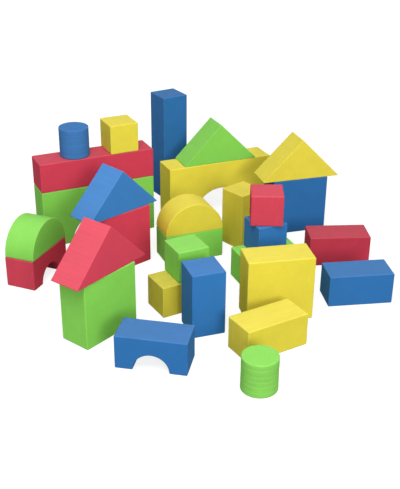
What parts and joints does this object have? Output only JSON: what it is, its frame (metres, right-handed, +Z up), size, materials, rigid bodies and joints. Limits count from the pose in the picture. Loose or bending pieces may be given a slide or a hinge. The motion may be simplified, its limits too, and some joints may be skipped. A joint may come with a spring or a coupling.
{
  "type": "foam building block set",
  "caption": "Play set of large soft foam building blocks: cubes, bricks, slabs, planks, wedges, arches, half rounds and drums, stacked into small houses and loose on the floor.",
  "frame": {"origin": "middle of the floor that the set covers, at floor level", "axes": "+Z up, +Y away from the front of the set, +X to the right as seen from the front"},
  "size_m": [0.8914, 1.0596, 0.3002],
  "materials": {
    "foam_red": "matte closed-cell foam",
    "foam_blue": "matte closed-cell foam",
    "foam_green": "matte closed-cell foam",
    "foam_yellow": "matte closed-cell foam"
  },
  "bodies": {
    "green_large_arch": {"green_large_arch": "foam_green"},
    "red_plank": {"red_plank": "foam_red"},
    "blue_drum": {"blue_drum": "foam_blue"},
    "yellow_cube": {"yellow_cube": "foam_yellow"},
    "blue_pillar": {"blue_pillar": "foam_blue"},
    "yellow_large_arch": {"yellow_large_arch": "foam_yellow"},
    "green_wedge": {"green_wedge": "foam_green"},
    "blue_slab": {"blue_slab": "foam_blue"},
    "yellow_wedge": {"yellow_wedge": "foam_yellow"},
    "yellow_upright_brick": {"yellow_upright_brick": "foam_yellow"},
    "green_tower_brick": {"green_tower_brick": "foam_green"},
    "blue_cube": {"blue_cube": "foam_blue"},
    "red_cube": {"red_cube": "foam_red"},
    "yellow_slab": {"yellow_slab": "foam_yellow"},
    "yellow_front_brick": {"yellow_front_brick": "foam_yellow"},
    "green_drum": {"green_drum": "foam_green"},
    "red_brick": {"red_brick": "foam_red"},
    "blue_brick": {"blue_brick": "foam_blue"},
    "green_base_brick": {"green_base_brick": "foam_green"},
    "yellow_half_round": {"yellow_half_round": "foam_yellow"},
    "yellow_low_brick": {"yellow_low_brick": "foam_yellow"},
    "green_cube": {"green_cube": "foam_green"},
    "blue_upright_brick": {"blue_upright_brick": "foam_blue"},
    "blue_small_arch": {"blue_small_arch": "foam_blue"},
    "red_slab": {"red_slab": "foam_red"},
    "blue_wedge": {"blue_wedge": "foam_blue"},
    "green_slab": {"green_slab": "foam_green"},
    "red_wedge": {"red_wedge": "foam_red"},
    "red_small_arch": {"red_small_arch": "foam_red"},
    "green_half_round": {"green_half_round": "foam_green"}
  },
  "joints": [
    {"name": "red_plank_lift", "type": "slide", "parent": "green_large_arch", "child": "red_plank", "axis": [0, 0, 1], "range_m": [0, 0.15]},
    {"name": "blue_drum_lift", "type": "slide", "parent": "red_plank", "child": "blue_drum", "axis": [0, 0, 1], "range_m": [0, 0.15]},
    {"name": "yellow_cube_lift", "type": "slide", "parent": "red_plank", "child": "yellow_cube", "axis": [0, 0, 1], "range_m": [0, 0.15]},
    {"name": "blue_pillar_lift", "type": "slide", "parent": "green_large_arch", "child": "blue_pillar", "axis": [0, 0, 1], "range_m": [0, 0.15]},
    {"name": "yellow_large_arch_lift", "type": "slide", "parent": "green_large_arch", "child": "yellow_large_arch", "axis": [0, 0, 1], "range_m": [0, 0.15]},
    {"name": "green_wedge_lift", "type": "slide", "parent": "yellow_large_arch", "child": "green_wedge", "axis": [0, 0, 1], "range_m": [0, 0.15]},
    {"name": "blue_slab_lift", "type": "slide", "parent": "green_large_arch", "child": "blue_slab", "axis": [0, 0, 1], "range_m": [0, 0.15]},
    {"name": "yellow_wedge_lift", "type": "slide", "parent": "blue_slab", "child": "yellow_wedge", "axis": [0, 0, 1], "range_m": [0, 0.15]},
    {"name": "yellow_upright_brick_lift", "type": "slide", "parent": "green_large_arch", "child": "yellow_upright_brick", "axis": [0, 0, 1], "range_m": [0, 0.15]},
    {"name": "green_tower_brick_lift", "type": "slide", "parent": "green_large_arch", "child": "green_tower_brick", "axis": [0, 0, 1], "range_m": [0, 0.15]},
    {"name": "blue_cube_lift", "type": "slide", "parent": "green_tower_brick", "child": "blue_cube", "axis": [0, 0, 1], "range_m": [0, 0.15]},
    {"name": "red_cube_lift", "type": "slide", "parent": "blue_cube", "child": "red_cube", "axis": [0, 0, 1], "range_m": [0, 0.15]},
    {"name": "yellow_slab_lift", "type": "slide", "parent": "green_large_arch", "child": "yellow_slab", "axis": [0, 0, 1], "range_m": [0, 0.15]},
    {"name": "yellow_front_brick_lift", "type": "slide", "parent": "green_large_arch", "child": "yellow_front_brick", "axis": [0, 0, 1], "range_m": [0, 0.15]},
    {"name": "green_drum_lift", "type": "slide", "parent": "green_large_arch", "child": "green_drum", "axis": [0, 0, 1], "range_m": [0, 0.15]},
    {"name": "red_brick_lift", "type": "slide", "parent": "green_large_arch", "child": "red_brick", "axis": [0, 0, 1], "range_m": [0, 0.15]},
    {"name": "blue_brick_lift", "type": "slide", "parent": "green_large_arch", "child": "blue_brick", "axis": [0, 0, 1], "range_m": [0, 0.15]},
    {"name": "green_base_brick_lift", "type": "slide", "parent": "green_large_arch", "child": "green_base_brick", "axis": [0, 0, 1], "range_m": [0, 0.15]},
    {"name": "yellow_half_round_lift", "type": "slide", "parent": "green_base_brick", "child": "yellow_half_round", "axis": [0, 0, 1], "range_m": [0, 0.15]},
    {"name": "yellow_low_brick_lift", "type": "slide", "parent": "green_large_arch", "child": "yellow_low_brick", "axis": [0, 0, 1], "range_m": [0, 0.15]},
    {"name": "green_cube_lift", "type": "slide", "parent": "yellow_low_brick", "child": "green_cube", "axis": [0, 0, 1], "range_m": [0, 0.15]},
    {"name": "blue_upright_brick_lift", "type": "slide", "parent": "green_large_arch", "child": "blue_upright_brick", "axis": [0, 0, 1], "range_m": [0, 0.15]},
    {"name": "blue_small_arch_lift", "type": "slide", "parent": "green_large_arch", "child": "blue_small_arch", "axis": [0, 0, 1], "range_m": [0, 0.15]},
    {"name": "red_slab_lift", "type": "slide", "parent": "green_large_arch", "child": "red_slab", "axis": [0, 0, 1], "range_m": [0, 0.15]},
    {"name": "blue_wedge_lift", "type": "slide", "parent": "red_slab", "child": "blue_wedge", "axis": [0, 0, 1], "range_m": [0, 0.15]},
    {"name": "green_slab_lift", "type": "slide", "parent": "green_large_arch", "child": "green_slab", "axis": [0, 0, 1], "range_m": [0, 0.15]},
    {"name": "red_wedge_lift", "type": "slide", "parent": "green_slab", "child": "red_wedge", "axis": [0, 0, 1], "range_m": [0, 0.15]},
    {"name": "red_small_arch_lift", "type": "slide", "parent": "green_large_arch", "child": "red_small_arch", "axis": [0, 0, 1], "range_m": [0, 0.15]},
    {"name": "green_half_round_lift", "type": "slide", "parent": "red_small_arch", "child": "green_half_round", "axis": [0, 0, 1], "range_m": [0, 0.15]}
  ]
}
